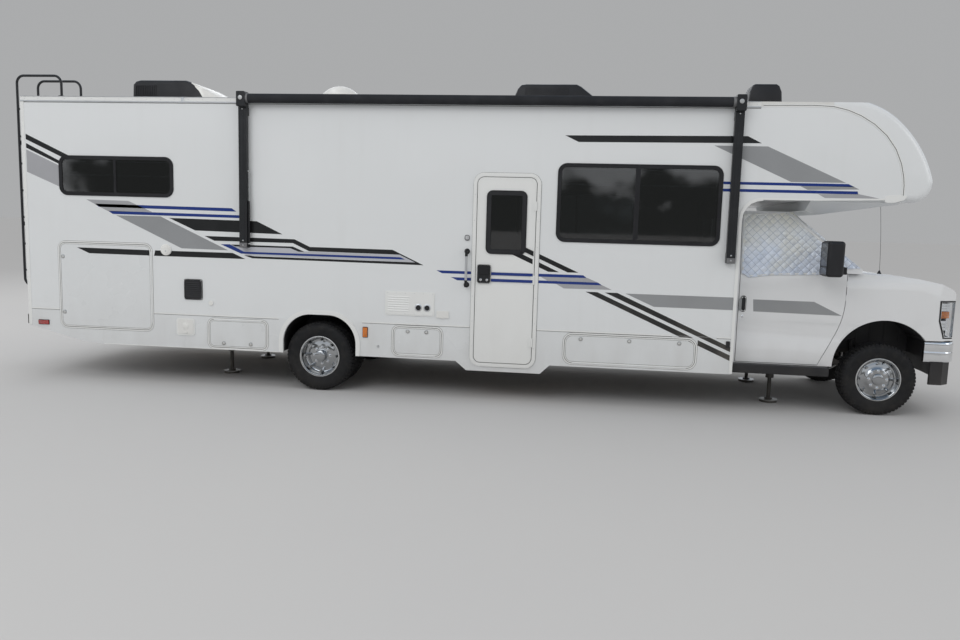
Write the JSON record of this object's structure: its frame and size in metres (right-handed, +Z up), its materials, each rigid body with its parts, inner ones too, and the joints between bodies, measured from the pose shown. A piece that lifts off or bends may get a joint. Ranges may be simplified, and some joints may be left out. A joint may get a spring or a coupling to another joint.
{
  "type": "motorhome",
  "caption": "Class C motorhome: box coach with a berth over the cab on a twin-rear-wheel van chassis, with opening doors, hatches and hood, and wheels that roll and steer.",
  "frame": {"origin": "on the ground below the centre of the whole vehicle", "axes": "+X forward, +Y to the left, +Z up"},
  "size_m": [9.8678, 2.8, 3.337],
  "materials": {
    "coach_white": "gloss",
    "cab_white": "gloss",
    "black_plastic": "satin",
    "dark_glass": "gloss",
    "clear_glass": "gloss",
    "white_plastic": "gloss",
    "grey_plastic": "matt",
    "chassis_black": "satin",
    "cast": "rough",
    "bright_trim": "polished",
    "tyre_rubber": "matt",
    "lamp_lens": "clear",
    "floor_ply": "sealed",
    "seat_cloth": "woven",
    "cover_cloth": "quilted silver",
    "alloy": "brushed"
  },
  "bodies": {
    "coach": {"side_wall_right": "coach_white", "side_wall_left": "coach_white", "skirts": "coach_white", "roof_panel": "coach_white", "rear_wall": "coach_white", "front_bulkhead": "coach_white", "nose_cap": "coach_white", "berth_floor": "coach_white", "coach_floor": "floor_ply", "window_frames": "black_plastic", "window_glass": "dark_glass", "storage_tubs": "grey_plastic", "wheel_wells": "black_plastic", "entry_frame": "white_plastic", "cab_shell": "cab_white", "front_wings": "cab_white", "grille": "bright_trim", "lamps": "lamp_lens", "front_bumper": "bright_trim", "lower_trim": "black_plastic", "dashboard": "grey_plastic", "cab_seats": "seat_cloth", "engine_block": "cast", "screen_cover": "cover_cloth", "chassis_frame": "chassis_black", "rear_axle": "cast", "front_axle": "cast", "levelling_jacks": "chassis_black", "underfloor_tanks": "black_plastic", "rear_bumper": "chassis_black", "ladder": "chassis_black", "awning": "black_plastic", "roof_units": "black_plastic", "wall_fittings": "white_plastic"},
    "entry_door": {"entry_leaf": "white_plastic", "entry_glass": "dark_glass"},
    "hood": {"hood": "cab_white"},
    "hatch_rear_right_door": {"hatch_rear_right": "coach_white"},
    "hatch_axle_right_door": {"hatch_axle_right": "coach_white"},
    "hatch_step_right_door": {"hatch_step_right": "coach_white"},
    "hatch_front_right_door": {"hatch_front_right": "coach_white"},
    "hatch_front_left_door": {"hatch_front_left": "coach_white"},
    "cab_door_right": {"cab_door_right": "cab_white", "cab_glass_right": "clear_glass", "mirror_right": "black_plastic", "cover_flap_right": "cover_cloth"},
    "knuckle_right": {"knuckle_right": "cast"},
    "front_wheel_right": {"front_tyre_right": "tyre_rubber", "front_rim_right": "bright_trim"},
    "rear_wheels_right": {"rear_tyres_right": "tyre_rubber", "rear_rims_right": "bright_trim"},
    "cab_door_left": {"cab_door_left": "cab_white", "cab_glass_left": "clear_glass", "mirror_left": "black_plastic", "cover_flap_left": "cover_cloth"},
    "knuckle_left": {"knuckle_left": "cast"},
    "front_wheel_left": {"front_tyre_left": "tyre_rubber", "front_rim_left": "bright_trim"},
    "rear_wheels_left": {"rear_tyres_left": "tyre_rubber", "rear_rims_left": "bright_trim"}
  },
  "joints": [
    {"name": "hatch_rear_right_swing", "type": "hinge", "parent": "coach", "child": "hatch_rear_right_door", "pos_m": [-3.354, -1.269, 1.02], "axis": [0, 0, 1], "range_deg": [0, 110]},
    {"name": "hatch_axle_right_swing", "type": "hinge", "parent": "coach", "child": "hatch_axle_right_door", "pos_m": [-2.3955, -1.269, 0.711], "axis": [-1, 0, 0], "range_deg": [0, 100]},
    {"name": "hatch_step_right_swing", "type": "hinge", "parent": "coach", "child": "hatch_step_right_door", "pos_m": [-0.4655, -1.269, 0.431], "axis": [1, 0, 0], "range_deg": [0, 110]},
    {"name": "hatch_front_right_swing", "type": "hinge", "parent": "coach", "child": "hatch_front_right_door", "pos_m": [1.678, -1.269, 0.433], "axis": [1, 0, 0], "range_deg": [0, 110]},
    {"name": "hatch_front_left_swing", "type": "hinge", "parent": "coach", "child": "hatch_front_left_door", "pos_m": [1.678, 1.269, 0.433], "axis": [-1, 0, 0], "range_deg": [0, 110]},
    {"name": "entry_door_swing", "type": "hinge", "parent": "coach", "child": "entry_door", "pos_m": [0.711, -1.2853, 1.3], "axis": [0, 0, 1], "range_deg": [0, 110]},
    {"name": "hood_lift", "type": "hinge", "parent": "coach", "child": "hood", "pos_m": [3.90915, 0, 1.438], "axis": [0, -1, 0], "range_deg": [0, 45]},
    {"name": "cab_door_swing_right", "type": "hinge", "parent": "coach", "child": "cab_door_right", "pos_m": [3.76685, -1.008, 1.24], "axis": [0, 0, 1], "range_deg": [0, 68]},
    {"name": "steer_right", "type": "hinge", "parent": "coach", "child": "knuckle_right", "pos_m": [4.148, -0.74, 0.362], "axis": [0, 0, 1], "range_deg": [-32, 32]},
    {"name": "front_wheel_spin_right", "type": "hinge", "parent": "knuckle_right", "child": "front_wheel_right", "pos_m": [4.148, -0.878, 0.362], "axis": [0, 1, 0], "continuous": true},
    {"name": "rear_wheels_spin_right", "type": "hinge", "parent": "coach", "child": "rear_wheels_right", "pos_m": [-1.516, -0.976, 0.362], "axis": [0, 1, 0], "continuous": true},
    {"name": "cab_door_swing_left", "type": "hinge", "parent": "coach", "child": "cab_door_left", "pos_m": [3.76685, 1.008, 1.24], "axis": [0, 0, -1], "range_deg": [0, 68]},
    {"name": "steer_left", "type": "hinge", "parent": "coach", "child": "knuckle_left", "pos_m": [4.148, 0.74, 0.362], "axis": [0, 0, 1], "range_deg": [-32, 32]},
    {"name": "front_wheel_spin_left", "type": "hinge", "parent": "knuckle_left", "child": "front_wheel_left", "pos_m": [4.148, 0.878, 0.362], "axis": [0, 1, 0], "continuous": true},
    {"name": "rear_wheels_spin_left", "type": "hinge", "parent": "coach", "child": "rear_wheels_left", "pos_m": [-1.516, 0.976, 0.362], "axis": [0, 1, 0], "continuous": true}
  ],
  "couplings": [
    {"joint": "steer_left", "follows": "steer_right", "ratio": 1}
  ]
}
